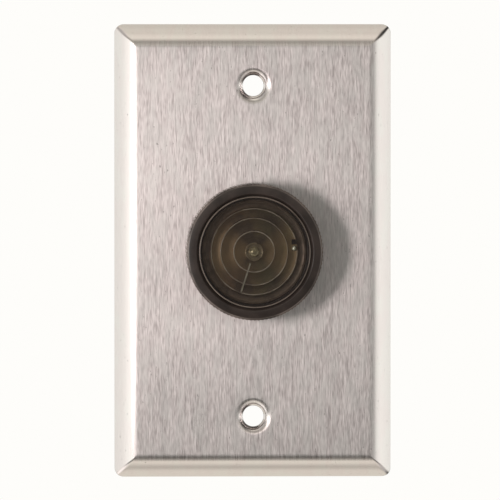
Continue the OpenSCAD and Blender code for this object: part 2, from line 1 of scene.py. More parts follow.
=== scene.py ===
"""Looks of a rotary selector switch on a single-gang stainless wall plate.

Shapes are drawn as in a front elevation, in millimetres: x to the right, y up and h out of
the wall, with h = 0 on the wall and the selector's axis at x = y = 0. world() puts such a
point in the frame, where the switch faces -Y.
"""
import math

import bmesh
import bpy
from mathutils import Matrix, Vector

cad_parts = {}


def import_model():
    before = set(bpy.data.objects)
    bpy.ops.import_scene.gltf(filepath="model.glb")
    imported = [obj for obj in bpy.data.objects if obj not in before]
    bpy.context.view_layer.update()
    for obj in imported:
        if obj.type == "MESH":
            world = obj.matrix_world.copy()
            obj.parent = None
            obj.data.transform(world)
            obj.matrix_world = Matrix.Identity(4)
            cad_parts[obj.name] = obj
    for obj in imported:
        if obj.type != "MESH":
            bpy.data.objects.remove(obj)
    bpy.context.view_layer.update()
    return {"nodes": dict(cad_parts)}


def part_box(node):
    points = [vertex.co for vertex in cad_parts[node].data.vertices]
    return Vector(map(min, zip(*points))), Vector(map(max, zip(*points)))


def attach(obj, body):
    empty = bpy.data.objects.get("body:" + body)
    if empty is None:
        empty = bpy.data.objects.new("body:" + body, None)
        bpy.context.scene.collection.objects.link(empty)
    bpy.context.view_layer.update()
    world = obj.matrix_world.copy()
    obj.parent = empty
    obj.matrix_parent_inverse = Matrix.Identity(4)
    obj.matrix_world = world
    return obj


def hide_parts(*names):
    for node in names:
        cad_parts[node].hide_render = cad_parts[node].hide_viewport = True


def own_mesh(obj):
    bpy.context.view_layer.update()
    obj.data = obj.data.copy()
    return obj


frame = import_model()

MM = 0.001


def world(x, y, h):
    """The frame's point, in metres, for a drawn point in millimetres."""
    return Vector((x, -h, y)) * MM


def outward(azimuth, elevation):
    """Unit vector from the object towards a viewer at this azimuth and elevation, in degrees."""
    a, e = math.radians(azimuth), math.radians(elevation)
    return Vector((math.sin(a) * math.cos(e), -math.cos(a) * math.cos(e), math.sin(e)))


# Sizes, in millimetres. Those that the frame holds are read from it.


def depth_range(node):
    """Lowest and highest h of a CAD node."""
    low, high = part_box(node)
    return -high.y / MM, -low.y / MM


plate_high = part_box("wall_plate")[1]
HALF_W = plate_high.x / MM
HALF_H = plate_high.z / MM
FACE_H = depth_range("wall_plate")[1]
SHEET_T = 0.9
BORDER_R = 9            # radius of the border's steep outer arc
BEND_R = 4.5            # radius of the bend between that arc and the flat
BEND_END = 6.1          # how far in from the edge the flat starts
CORNER_R = 2.4
CREASE_W = 0.08         # width over which two borders meet at a mitre
CREASE_OUTER_W = 1.6    # how much wider that gets at the rim
CREASE_REACH = 4.5      # how far in from the rim it does
SCREW_Y = 83.34 / 2
SCREW_HOLE_R = 2.65
DIMPLE_R = 4.1
DIMPLE_DEPTH = 1.4
DIMPLE_ROLL_R = 2.1     # the sheet rolls over the dimple's edge
DIMPLE_ROLL_SWEEP = 70  # degrees
BARREL_HOLE_R = 11.15
KEY_HALF_W = 1.6
KEY_TOP = 12.95

COLLAR_H, COLLAR_TOP_H = depth_range("knob_collar")
KNOB_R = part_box("knob_collar")[1].x / MM
LENS_LOW_H, LENS_TOP_H = depth_range("lens")
LENS_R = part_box("lens")[1].x / MM
DISC_LOW_H, DISC_TOP_H = depth_range("index_disc")
DISC_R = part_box("index_disc")[1].x / MM
RING_RADII = (5.3, 8.6, 11.0)
RIB_H = 0.3
DISC_H = DISC_TOP_H - RIB_H
DISC_RIM_W = 0.6
DISC_HOLE_R = 1.5
BEAD_R = 0.17
LENS_CENTRE_R = 2.8
LENS_RIM_R = 12.9
LEDGE_R = 13.3
LEDGE_H = COLLAR_TOP_H - 2.3
LENS_EDGE_H = COLLAR_TOP_H - 0.2
SKIRT_R = 15
HUB_HOLE_R = 5.25
WEB_H = 8.5
NOTCH_FROM = (9.4, 1.8)
NOTCH_TO = (10.8, 3.1)
TEETH = 108
TOOTH_DEPTH = 0.3
BODY_R = KNOB_R - TOOTH_DEPTH - 0.1
SMOOTH_ANGLE = 40       # degrees: sharper edges stay sharp


# Mesh helpers


def make_piece(name, verts, faces, material, body, replaced):
    """A mesh object from drawn points, riding on a body in place of CAD nodes."""
    mesh = bpy.data.meshes.new(name)
    mesh.from_pydata([world(*v) for v in verts], [], faces)
    return adopt(name, mesh, material, body, replaced)


def adopt(name, mesh, material, body, replaced):
    """Smooths a mesh's shading and ties it to the frame."""
    bm = bmesh.new()
    bm.from_mesh(mesh)
    bmesh.ops.recalc_face_normals(bm, faces=bm.faces)
    bm.to_mesh(mesh)
    bm.free()
    mesh.shade_smooth()
    mesh.set_sharp_from_angle(angle=math.radians(SMOOTH_ANGLE))
    piece = bpy.data.objects.new(name, mesh)
    bpy.context.scene.collection.objects.link(piece)
    mesh.materials.append(material)
    normals = piece.modifiers.new("normals", "WEIGHTED_NORMAL")
    normals.keep_sharp = True
    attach(piece, body)
    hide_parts(*replaced)
    return piece


def fillet(corners, steps=4):
    """Rounds an outline's corners, each given as (r, h, radius)."""
    rounded = []
    count = len(corners)
    for i, (r, h, radius) in enumerate(corners):
        corner = Vector((r, h))
        if radius == 0:
            rounded.append(corner)
            continue
        back = Vector(corners[i - 1][:2]) - corner
        ahead = Vector(corners[(i + 1) % count][:2]) - corner
        half = back.angle(ahead) / 2
        reach = min(radius / math.tan(half), 0.45 * back.length, 0.45 * ahead.length)
        start = corner + back.normalized() * reach
        end = corner + ahead.normalized() * reach
        for k in range(steps + 1):
            s = k / steps
            rounded.append((1 - s) ** 2 * start + 2 * s * (1 - s) * corner + s * s * end)
    return [tuple(p) for p in rounded]


def lathe(outline, segments, centre=(0, 0), radius_at=None):
    """Verts and faces of a closed (r, h) outline turned about h. Points at r = 0 become poles."""
    verts, rings = [], []
    for r, h in outline:
        if r < 1e-6:
            rings.append([len(verts)] * segments)
            verts.append((centre[0], centre[1], h))
            continue
        rings.append(list(range(len(verts), len(verts) + segments)))
        for j in range(segments):
            a = 2 * math.pi * j / segments
            rr = radius_at(r, h, a) if radius_at else r
            verts.append((centre[0] + rr * math.cos(a), centre[1] + rr * math.sin(a), h))
    faces = []
    for i, ring in enumerate(rings):
        after = rings[(i + 1) % len(rings)]
        for j in range(segments):
            k = (j + 1) % segments
            corners = (ring[j], ring[k], after[k], after[j])
            face = tuple(dict.fromkeys(corners))
            if len(face) > 2:
                faces.append(face)
    return verts, faces


def helix(centre, start_h, length, mean_r, wire_r, turns, along):
    """A round wire coiled along a direction: along maps (u, v, w) to a drawn point."""
    per_turn, sides = 32, 12
    count = int(turns * per_turn)
    pitch = (length - 2 * wire_r) / count
    verts, faces = [], []
    for i in range(count + 1):
        a = 2 * math.pi * i / per_turn
        for j in range(sides):
            b = 2 * math.pi * j / sides
            r = mean_r + wire_r * math.cos(b)
            w = start_h + wire_r + pitch * i + wire_r * math.sin(b)
            verts.append(along(centre, r * math.cos(a), r * math.sin(a), w))
    for i in range(count):
        for j in range(sides):
            p, q = i * sides + j, i * sides + (j + 1) % sides
            faces.append((p, q, q + sides, p + sides))
    faces.append(tuple(range(sides)))
    faces.append(tuple(count * sides + j for j in range(sides)))
    return verts, faces


# Materials


def srgb(red, green, blue):
    """Linear colour of an 8-bit one."""
    def linear(c):
        c /= 255
        return c / 12.92 if c <= 0.04045 else ((c + 0.055) / 1.055) ** 2.4
    return (linear(red), linear(green), linear(blue), 1)


class Finish:
    """A material on one Principled shader. Its methods add nodes and return their output."""

    def __init__(self, name, **values):
        self.material = bpy.data.materials.new(name)
        self.material.use_nodes = True
        self.tree = self.material.node_tree
        self.shader = self.tree.nodes["Principled BSDF"]
        self.place = self.add("ShaderNodeTexCoord").outputs["Object"]
        for socket, value in values.items():
            self.shader.inputs[socket.replace("_", " ")].default_value = value

    def add(self, kind, inputs=None, **settings):
        node = self.tree.nodes.new(kind)
        for name, value in settings.items():
            setattr(node, name, value)
        for name, value in (inputs or {}).items():
            self.feed(node.inputs[name], value)
        return node

    def feed(self, socket, value):
        if isinstance(value, bpy.types.NodeSocket):
            self.tree.links.new(value, socket)
        else:
            socket.default_value = value

    def noise(self, size, detail=3.0, shift=0.0):
        """Noise whose features are about size = (x, y, z) millimetres in the frame."""
        scale = [1 / (s * MM) for s in size]
        place = self.add("ShaderNodeMapping", {
            "Vector": self.place, "Scale": scale, "Location": (shift, shift, shift)})
        return self.add("ShaderNodeTexNoise", {
            "Vector": place.outputs[0], "Scale": 1.0, "Detail": detail}).outputs["Fac"]

    def scale(self, value, low, high, new_low, new_high, smooth=False):
        """Carries low..high over to new_low..new_high."""
        return self.add("ShaderNodeMapRange", {
            "Value": value, "From Min": low, "From Max": high, "To Min": new_low,
            "To Max": new_high},
            interpolation_type="SMOOTHSTEP" if smooth else "LINEAR").outputs["Result"]

    def maths(self, operation, a, b):
        node = self.add("ShaderNodeMath", operation=operation)
        self.feed(node.inputs[0], a)
        self.feed(node.inputs[1], b)
        return node.outputs[0]

    def blend(self, share, a, b):
        node = self.add("ShaderNodeMix", data_type="RGBA")
        self.feed(node.inputs["Factor"], share)
        self.feed(node.inputs[6], a)
        self.feed(node.inputs[7], b)
        return node.outputs[2]

    def bump(self, height, depth_mm):
        return self.add("ShaderNodeBump", {
            "Height": height, "Distance": depth_mm * MM, "Strength": 1.0}).outputs[0]

    def set(self, socket, value):
        self.feed(self.shader.inputs[socket], value)


def plain_finish(name, dark, light, rough, grain, depth, patch=6, **values):
    """A moulded, plated or turned surface: two tones in soft patches over a fine grain."""
    finish = Finish(name, **values)
    patches = finish.noise((patch, patch, patch), detail=4)
    fine = finish.noise((grain, grain, grain), detail=2, shift=3.7)
    mixed = finish.maths("ADD", finish.maths("MULTIPLY", patches, 0.7),
                         finish.maths("MULTIPLY", fine, 0.3))
    finish.set("Base Color", finish.blend(finish.scale(mixed, 0.35, 0.65, 0, 1), dark, light))
    finish.set("Roughness", finish.scale(mixed, 0.3, 0.7, rough[0], rough[1]))
    finish.set("Normal", finish.bump(fine, depth))
    return finish.material


def brushed_steel():
    """Stainless sheet brushed along its height, smoother and cleaner on the formed border."""
    finish = Finish("plate_steel", Metallic=1.0, Anisotropic=0.75)
    streak = finish.noise((0.22, 3, 4.4), detail=0)
    hair = finish.noise((0.17, 3, 1.5), detail=0, shift=5.1)
    band = finish.noise((0.9, 6, 20), detail=2, shift=7.7)
    cloud = finish.noise((14, 14, 22), detail=2, shift=1.3)
    patch = finish.noise((3, 6, 8), detail=2, shift=2.9)
    nick = finish.noise((0.45, 0.45, 1.1), detail=1, shift=8.9)
    nicks = finish.scale(nick, 0.74, 0.79, 0, 1, smooth=True)
    brush = finish.maths("ADD", finish.maths("MULTIPLY", streak, 0.4),
                         finish.maths("MULTIPLY", hair, 0.45))
    brush = finish.maths("ADD", brush, finish.maths("MULTIPLY", band, 0.15))
    apart = finish.add("ShaderNodeSeparateXYZ", {"Vector": finish.place})
    flat = finish.scale(apart.outputs["Y"], -(FACE_H - 0.5) * MM, -(FACE_H - 0.05) * MM,
                        0, 1, smooth=True)
    faded = finish.scale(flat, 0, 1, 0.1, 1)
    tone = finish.maths("MULTIPLY", finish.scale(brush, 0.3, 0.7, -0.5, 0.5), faded)
    tone = finish.scale(tone, -0.5, 0.5, 0, 1)
    steel = finish.blend(tone, (0.57, 0.502, 0.49, 1), (0.87, 0.792, 0.776, 1))
    steel = finish.blend(finish.scale(patch, 0.42, 0.62, 0, 0.5, smooth=True), steel,
                         (0.72, 0.68, 0.655, 1))
    steel = finish.blend(finish.maths("MULTIPLY", nicks, 0.5), steel, (0.17, 0.15, 0.14, 1))
    finish.set("Base Color", steel)
    patchy = finish.maths("ADD", finish.scale(cloud, 0.3, 0.7, 0.37, 0.42),
                        finish.scale(brush, 0.3, 0.7, -0.05, 0.065))
    formed = finish.scale(flat, 0, 1, 0.2, 0)
    finish.set("Roughness", finish.maths("ADD", finish.maths("MULTIPLY", patchy, flat), formed))
    height = finish.maths("SUBTRACT", brush, finish.maths("MULTIPLY", nicks, 0.6))
    finish.set("Normal", finish.bump(finish.maths("MULTIPLY", height, faded), 0.014))
    tangent = finish.add("ShaderNodeTangent", direction_type="UV_MAP", uv_map="grain")
    finish.set("Tangent", tangent.outputs[0])
    return finish.material


def smoke_plastic():
    """The collar's dark brown moulded plastic, satin with faint flow marks and dust, with a painted
    highlight in patches along its front rim.
    """
    finish = Finish("knob_smoke", Specular_IOR_Level=0.35, Coat_Weight=0.2, Coat_Roughness=0.16)
    flow = finish.noise((5, 5, 5), detail=4)
    dust = finish.noise((0.16, 0.16, 0.16), detail=2, shift=2.2)
    specks = finish.scale(dust, 0.68, 0.78, 0, 1, smooth=True)
    body = finish.blend(finish.scale(flow, 0.35, 0.65, 0, 1), srgb(46, 38, 35), srgb(64, 53, 49))
    body = finish.blend(finish.maths("MULTIPLY", specks, 0.3), body, srgb(120, 104, 90))
    across = finish.add("ShaderNodeVectorMath", {0: finish.place, 1: (1, 0, 1)},
                        operation="MULTIPLY")
    radius = finish.add("ShaderNodeVectorMath", {0: across.outputs[0]}, operation="LENGTH")
    edge = finish.scale(radius.outputs["Value"], (BODY_R - 0.3) * MM, (BODY_R - 0.1) * MM, 0, 1)
    # Painted highlight: a lighter colour in patches along the rim's front edge stands in for the
    # bright arcs of light on that rounded lip.
    rim_highlight = finish.scale(finish.noise((7, 7, 7), detail=2, shift=1.9), 0.4, 0.58, 0.1, 0.75)
    finish.set("Base Color", finish.blend(finish.maths("MULTIPLY", edge, rim_highlight), body,
                                          srgb(142, 128, 122)))
    finish.set("Roughness", finish.scale(flow, 0.3, 0.7, 0.32, 0.46))
    finish.set("Normal", finish.bump(dust, 0.006))
    return finish.material


def smoke_lens():
    """The lens's clear smoke plastic, which light passes through."""
    finish = Finish("lens_smoke", Alpha=0.22, Coat_Weight=0.4, Coat_Roughness=0.06, IOR=1.49)
    haze = finish.noise((4, 4, 4), detail=3)
    finish.set("Base Color", finish.blend(
        finish.scale(haze, 0.35, 0.65, 0, 1), srgb(46, 39, 37), srgb(60, 51, 47)))
    finish.set("Roughness", finish.scale(haze, 0.3, 0.7, 0.1, 0.18))
    finish.set("Normal", finish.bump(finish.noise((0.4, 0.4, 0.4), detail=2), 0.002))
    return finish.material


def gilt_disc():
    """The index disc: turned and aged, tan to the left and olive to the right, with painted
    highlights on its beads and towards its left and right sides.
    """
    finish = Finish("index_gilt")
    apart = finish.add("ShaderNodeSeparateXYZ", {"Vector": finish.place})
    flat = finish.add("ShaderNodeCombineXYZ", {
        "X": apart.outputs["X"], "Z": apart.outputs["Z"]})
    radius = finish.add("ShaderNodeVectorMath", operation="LENGTH")
    finish.feed(radius.inputs[0], flat.outputs[0])
    turned = finish.add("ShaderNodeCombineXYZ", {"X": radius.outputs["Value"]})
    lines = finish.add("ShaderNodeTexNoise", {
        "Vector": turned.outputs[0], "Scale": 1 / (0.18 * MM), "Detail": 3.0}).outputs["Fac"]
    patch = finish.noise((5, 5, 5), detail=3, shift=0.6)
    aged = finish.noise((2.2, 2.2, 2.2), detail=4, shift=4.4)
    hue = finish.scale(apart.outputs["X"], -8 * MM, 8 * MM, 0, 1, smooth=True)
    tone = finish.blend(hue, srgb(130, 104, 84), srgb(108, 104, 78))
    tone = finish.blend(finish.scale(patch, 0.4, 0.56, 0, 0.8), tone, srgb(86, 74, 66))
    tone = finish.blend(finish.scale(radius.outputs["Value"], 11.1 * MM, 11.5 * MM, 0, 0.8),
                        tone, srgb(120, 103, 92))
    tone = finish.blend(finish.scale(aged, 0.5, 0.7, 0, 0.5), tone, srgb(62, 53, 45))
    tone = finish.blend(finish.scale(lines, 0.4, 0.7, 0, 0.25), tone, srgb(166, 144, 120))
    # Painted highlight: lighter towards the left and right sides, inside about 11 mm, standing in
    # for side lights glinting on the turned face.
    aside = finish.maths("DIVIDE", finish.maths("ABSOLUTE", apart.outputs["X"], 0.0),
                         radius.outputs["Value"])
    aside = finish.maths("MULTIPLY", finish.scale(aside, 0.55, 1, 0, 0.5, smooth=True),
                         finish.scale(radius.outputs["Value"], 10.8 * MM, 11.2 * MM, 1, 0))
    tone = finish.blend(aside, tone, srgb(178, 149, 110))
    # Painted highlight: the bead tops are painted pale and nearly non-metallic, in broken patches,
    # so that they show as bright rings.
    bead = finish.scale(apart.outputs["Y"], -(DISC_H + 0.16) * MM, -(DISC_H + 0.05) * MM, 1, 0)
    rim = finish.scale(radius.outputs["Value"], 12 * MM, 12.2 * MM, 1, 0)
    bead = finish.maths("MULTIPLY", bead, rim)
    patchy = finish.scale(finish.noise((4, 4, 4), detail=2, shift=9.3), 0.4, 0.6, 0.3, 1)
    bead_highlight = finish.maths("MULTIPLY", bead, patchy)
    finish.set("Base Color", finish.blend(bead_highlight, tone, srgb(214, 198, 178)))
    finish.set("Metallic", finish.scale(bead, 0, 1, 0.7, 0.1))
    finish.set("Roughness", finish.scale(aged, 0.3, 0.7, 0.3, 0.5))
    finish.set("Normal", finish.bump(lines, 0.008))
    return finish.material


def clear_cover():
    """The contact blocks' clear side covers."""
    finish = Finish("cover_clear", Alpha=0.3, Coat_Weight=0.4, Coat_Roughness=0.06, IOR=1.58)
    haze = finish.noise((5, 5, 5), detail=3)
    finish.set("Base Color", finish.blend(haze, srgb(176, 190, 192), srgb(212, 220, 220)))
    finish.set("Roughness", finish.scale(haze, 0.3, 0.7, 0.1, 0.2))
    finish.set("Normal", finish.bump(finish.noise((0.6, 0.6, 0.6), detail=2), 0.003))
    return finish.material


METAL = {"Metallic": 1.0}
PLASTIC = {"Coat_Weight": 0.08, "Coat_Roughness": 0.3}
MATERIALS = {
    "plate_steel": brushed_steel(),
    "knob_smoke": smoke_plastic(),
    "lens_smoke": smoke_lens(),
    "index_gilt": gilt_disc(),
    "cover_clear": clear_cover(),
    # Painted highlight: the lens's rounded edge gets a lighter, less clear finish so that it shows
    # as a bright ring.
    "lens_edge_highlight": plain_finish(
        "lens_edge_highlight", srgb(116, 102, 93), srgb(148, 132, 122), (0.2, 0.35), 0.2, 0.004,
        Alpha=0.85),
    "cap_olive": plain_finish(
        "cap_olive", srgb(146, 130, 106), srgb(194, 176, 148), (0.24, 0.36), 0.2, 0.004,
        patch=1.5, Metallic=0.9),
    "cap_gilt": plain_finish(
        "cap_gilt", srgb(160, 147, 114), srgb(196, 183, 148), (0.2, 0.3), 0.2, 0.004,
        patch=1, Metallic=0.5),
    "pin_pale": plain_finish(
        "pin_pale", srgb(244, 244, 214), srgb(255, 255, 238), (0.3, 0.42), 0.15, 0.002,
        patch=1, Metallic=0.9),
    "seal_rubber": plain_finish(
        "seal_rubber", srgb(24, 24, 25), srgb(40, 40, 41), (0.6, 0.8), 0.25, 0.015),
    "operator_zinc": plain_finish(
        "operator_zinc", srgb(58, 60, 63), srgb(86, 88, 92), (0.35, 0.5), 0.2, 0.012,
        Metallic=0.8),
    "plated_steel": plain_finish(
        "plated_steel", srgb(160, 158, 150), srgb(206, 204, 198), (0.22, 0.38), 0.3, 0.006,
        **METAL),
    "pointer_ivory": plain_finish(
        "pointer_ivory", srgb(140, 130, 112), srgb(196, 188, 168), (0.3, 0.45), 0.2, 0.008,
        patch=1.5),
    "brass": plain_finish(
        "brass", srgb(168, 132, 70), srgb(224, 188, 112), (0.18, 0.34), 0.2, 0.005, **METAL),
    "hard_steel": plain_finish(
        "hard_steel", srgb(128, 128, 130), srgb(186, 186, 188), (0.14, 0.28), 0.2, 0.004,
        **METAL),
    "acetal_white": plain_finish(
        "acetal_white", srgb(222, 220, 212), srgb(240, 239, 233), (0.4, 0.55), 0.25, 0.008,
        **PLASTIC),
    "contact_green": plain_finish(
        "contact_green", srgb(28, 98, 62), srgb(44, 124, 80), (0.4, 0.55), 0.25, 0.01,
        **PLASTIC),
    "carrier_grey": plain_finish(
        "carrier_grey", srgb(112, 114, 116), srgb(138, 140, 142), (0.45, 0.6), 0.3, 0.014,
        **PLASTIC),
    "housing_black": plain_finish(
        "housing_black", srgb(30, 31, 33), srgb(48, 49, 52), (0.45, 0.62), 0.3, 0.016,
        **PLASTIC),
    "copper": plain_finish(
        "copper", srgb(168, 96, 64), srgb(222, 146, 108), (0.2, 0.38), 0.25, 0.005, **METAL),
    "contact_silver": plain_finish(
        "contact_silver", srgb(196, 196, 196), srgb(232, 232, 230), (0.14, 0.28), 0.2, 0.003,
        **METAL),
}


# Wall plate


def smooth_min(a, b, width):
    """The lower of two heights, rounded over where they are within width of each other."""
    share = min(1, max(0, 0.5 + 0.5 * (b - a) / width))
    return b + (a - b) * share - width * share * (1 - share)


def border_centre():
    """Centre, as (u, h), of the border's arc, which starts at the rim and runs on into the bend.

    u is the way in from the edge.
    """
    bend_u, bend_h = BEND_END, FACE_H - BEND_R
    apart = math.hypot(bend_u, bend_h)
    along = (BORDER_R ** 2 - (BORDER_R - BEND_R) ** 2 + apart ** 2) / (2 * apart)
    aside = math.sqrt(BORDER_R ** 2 - along ** 2)
    return ((along * bend_u + aside * bend_h) / apart, (along * bend_h - aside * bend_u) / apart)


def side_height(u, thickness):
    """Height across one side: a steep arc, then a tighter bend that eases into the flat."""
    if u >= BEND_END:
        return FACE_H - thickness
    centre_u, centre_h = border_centre()
    radius = BORDER_R - thickness
    lean = (BEND_END - centre_u) / (BORDER_R - BEND_R)
    if u > BEND_END + lean * (BEND_R - thickness):
        centre_u, centre_h, radius = BEND_END, FACE_H - BEND_R, BEND_R - thickness
    return centre_h + math.sqrt(max(0, radius ** 2 - (u - centre_u) ** 2))


def plate_height(x, y, thickness):
    """Height of the plate's face, or of its back when thickness is the sheet's."""
    ux, uy = HALF_W - abs(x), HALF_H - abs(y)
    crease = CREASE_W + CREASE_OUTER_W * max(0, 1 - min(ux, uy) / CREASE_REACH)
    return max(0, smooth_min(side_height(ux, thickness), side_height(uy, thickness), crease))


def contour(inset):
    """Points round the plate at a distance from its edge; the corners tighten inwards."""
    side_steps, corner_steps = 12, 16
    radius = max(0.6, CORNER_R - 0.6 * inset)
    w, h = HALF_W - inset - radius, HALF_H - inset - radius
    points = []
    for quarter, (sx, sy) in enumerate(((1, 1), (-1, 1), (-1, -1), (1, -1))):
        for k in range(corner_steps + 1):
            a = math.radians(90 * quarter + 90 * k / corner_steps)
            points.append((sx * w + radius * math.cos(a), sy * h + radius * math.sin(a)))
        ahead = ((-1, 1), (-1, -1), (1, -1), (1, 1))[quarter]
        start = points[-1]
        a = math.radians(90 * quarter + 90)
        end = (ahead[0] * w + radius * math.cos(a), ahead[1] * h + radius * math.sin(a))
        for k in range(1, side_steps):
            s = k / side_steps
            points.append((start[0] + (end[0] - start[0]) * s,
                           start[1] + (end[1] - start[1]) * s))
    return points


def key_hole():
    """Outline of the barrel's hole with its key slot at the top."""
    slot = math.asin(KEY_HALF_W / BARREL_HOLE_R)
    start, sweep = math.pi / 2 + slot, 2 * math.pi - 2 * slot
    steps = 96
    points = [(BARREL_HOLE_R * math.cos(start + sweep * k / steps),
               BARREL_HOLE_R * math.sin(start + sweep * k / steps)) for k in range(steps + 1)]
    return points + [(KEY_HALF_W, KEY_TOP), (-KEY_HALF_W, KEY_TOP)]


def wall_plate():
    """Pressed plate: loops across the border, a sheet's thickness, three holes in the flat."""
    bm = bmesh.new()

    def loop(points):
        return [bm.verts.new(world(*p)) for p in points]

    def skin(loops):
        for a, b in zip(loops, loops[1:]):
            for i in range(len(a)):
                j = (i + 1) % len(a)
                bm.faces.new((a[i], a[j], b[j], b[i]))

    def fill(loops):
        edges = []
        for verts in loops:
            for i, vert in enumerate(verts):
                ahead = verts[(i + 1) % len(verts)]
                edges.append(bm.edges.get((vert, ahead)) or bm.edges.new((vert, ahead)))
        bmesh.ops.triangle_fill(bm, use_beauty=True, edges=edges)

    border_end = BEND_END + 0.3
    centre_u, centre_h = border_centre()
    back_start = centre_u - math.sqrt((BORDER_R - SHEET_T) ** 2 - centre_h ** 2)
    steps = 48
    face_insets = [border_end * (1 - k / steps) for k in range(steps + 1)]
    back_insets = [back_start + (border_end - back_start) * k / steps for k in range(steps + 1)]
    face = [loop([(x, y, plate_height(x, y, 0)) for x, y in contour(d)]) for d in face_insets]
    rim = loop([(x, y, 0) for x, y in contour(0)])
    back_rim = loop([(x, y, 0) for x, y in contour(back_start)])
    back = [loop([(x, y, plate_height(x, y, SHEET_T)) for x, y in contour(d)])
            for d in back_insets]
    skin(face + [rim, back_rim] + back)

    back_h = FACE_H - SHEET_T
    roll_steps, sides = 20, 72
    dimple = [(DIMPLE_R + 1.6, FACE_H)]
    for k in range(roll_steps + 1):
        a = math.radians(DIMPLE_ROLL_SWEEP * k / roll_steps)
        dimple.append((SCREW_HOLE_R + DIMPLE_ROLL_R * (1 - math.sin(a)),
                       FACE_H - DIMPLE_ROLL_R * (1 - math.cos(a))))
    low_h = FACE_H - DIMPLE_DEPTH - 0.1
    dimple += [(SCREW_HOLE_R, low_h), (SCREW_HOLE_R, low_h - SHEET_T),
               (SCREW_HOLE_R + SHEET_T, low_h - SHEET_T), (DIMPLE_R + SHEET_T, back_h),
               (DIMPLE_R + 1.9, back_h)]
    holes = []
    for side in (1, -1):
        rings = [loop([(r * math.cos(2 * math.pi * k / sides),
                        side * SCREW_Y + r * math.sin(2 * math.pi * k / sides), h)
                       for k in range(sides)]) for r, h in dimple]
        skin(rings)
        holes.append(rings)
    keyed = [loop([(x, y, h) for x, y in key_hole()]) for h in (FACE_H, back_h)]
    skin(keyed)
    holes.append(keyed)
    fill([face[0]] + [rings[0] for rings in holes])
    fill([back[-1]] + [rings[-1] for rings in holes])

    grain = bm.loops.layers.uv.new("grain")
    for polygon in bm.faces:
        for corner in polygon.loops:
            corner[grain].uv = (corner.vert.co.x / 0.1, corner.vert.co.z / 0.1)
    mesh = bpy.data.meshes.new("plate")
    bm.to_mesh(mesh)
    bm.free()
    adopt("plate", mesh, MATERIALS["plate_steel"], "switch_body",
          ["wall_plate"])


# Knob


def knob_collar():
    """Knurled collar: the teeth fade out at both ends of the band."""
    band_low, band_high = COLLAR_H + 0.5, COLLAR_TOP_H - 0.9

    def toothed(r, h, angle):
        if r < BODY_R + 0.02:
            return r
        fade = min(1, max(0, min(h - band_low, band_high - h) / 0.5))
        wave = 0.5 - 0.5 * math.cos(TEETH * angle)
        return r - TOOTH_DEPTH * (0.25 + 0.75 * fade) * wave

    web_top = DISC_LOW_H
    outline = fillet([
        (HUB_HOLE_R, WEB_H, 0.1), (SKIRT_R, WEB_H, 0.2), (SKIRT_R, COLLAR_H, 0.15),
        (BODY_R, COLLAR_H, 0.3),
        (BODY_R, band_low, 0.08), (KNOB_R, band_low, 0.3),
        (KNOB_R, (band_low + band_high) / 2, 0), (KNOB_R, band_high, 0.45),
        (BODY_R, band_high + 0.05, 0.06), (BODY_R, COLLAR_TOP_H - 0.2, 0.45),
        (LENS_R + 0.8, COLLAR_TOP_H, 0.2), (LENS_R + 0.3, COLLAR_TOP_H - 0.7, 0.1),
        (LENS_R + 0.3, COLLAR_TOP_H - 1.1, 0.1),
        (LENS_R + 0.05, COLLAR_TOP_H - 1.1, 0.1), (LENS_R + 0.05, LEDGE_H, 0.08),
        (LEDGE_R, LEDGE_H, 0.08), (LEDGE_R, web_top, 0.15), (HUB_HOLE_R, web_top, 0.1)],
        steps=3)
    verts, faces = lathe(outline, TEETH * 6, radius_at=toothed)
    piece = make_piece("collar", verts, faces, MATERIALS["knob_smoke"], "knob",
                       ["knob_collar"])
    cut_away(piece, (*NOTCH_FROM, web_top - 1.4), (*NOTCH_TO, web_top + 0.2))


def lens():
    """Low-crowned window with saw-toothed ring steps on its back."""
    tooth = 0.25
    back = LENS_LOW_H + tooth
    steps = (LENS_CENTRE_R,) + RING_RADII + (LENS_RIM_R,)
    corners = [(0, back, 0)]
    for i, (inner, outer) in enumerate(zip(steps, steps[1:])):
        corners.append((inner, back if i == 0 else back - tooth, 0.06))
        corners.append((outer, back, 0.06))
    corners += [(LENS_RIM_R, LEDGE_H, 0.05), (LENS_R, LEDGE_H, 0.08),
                (LENS_R, LENS_EDGE_H - 0.15, 0.06)]
    crown, crown_steps = LENS_TOP_H - LENS_EDGE_H, 24
    corners.append((LENS_R - 0.25, LENS_EDGE_H, 0.12))
    for k in range(1, crown_steps):
        r = (LENS_R - 0.25) * (1 - k / crown_steps)
        corners.append((r, LENS_EDGE_H + crown * (1 - (r / LENS_R) ** 2), 0))
    corners.append((0, LENS_TOP_H, 0))
    verts, faces = lathe(fillet(corners, steps=3), 192)
    piece = make_piece("window", verts, faces, MATERIALS["lens_smoke"], "knob",
                       ["lens"])
    # Painted highlight: the faces of the lens's edge take the lighter edge finish, which shows as a
    # bright ring.
    piece.data.materials.append(MATERIALS["lens_edge_highlight"])
    for face in piece.data.polygons:
        x, h, y = face.center / MM
        if math.hypot(x, y) > LENS_R - 0.28 and -h > LEDGE_H + 0.3:
            face.material_index = 1


def index_disc():
    """Turned disc with raised beads and a shallow hollow between each pair of beads."""
    chamfer = 0.12
    outer = DISC_R - DISC_RIM_W
    outline = [(DISC_HOLE_R, DISC_LOW_H), (DISC_R, DISC_LOW_H), (DISC_R, DISC_TOP_H - chamfer),
               (DISC_R - chamfer, DISC_TOP_H), (DISC_R - 0.48, DISC_TOP_H),
               (outer, DISC_TOP_H - chamfer)]
    for ring_r in reversed(RING_RADII):
        outline += hollow(outer, ring_r)
        for k in range(7):
            a = math.pi * k / 6
            outline.append((ring_r - BEAD_R + BEAD_R * math.cos(a),
                            DISC_H + RIB_H * math.sin(a)))
        outer = ring_r - 2 * BEAD_R
    outline += hollow(outer, DISC_HOLE_R)
    verts, faces = lathe(outline, 192)
    piece = make_piece("disc", verts, faces, MATERIALS["index_gilt"], "knob",
                       ["index_disc"])
    cut_away(piece, (*NOTCH_FROM, DISC_LOW_H - 1), (*NOTCH_TO, DISC_TOP_H + 1))


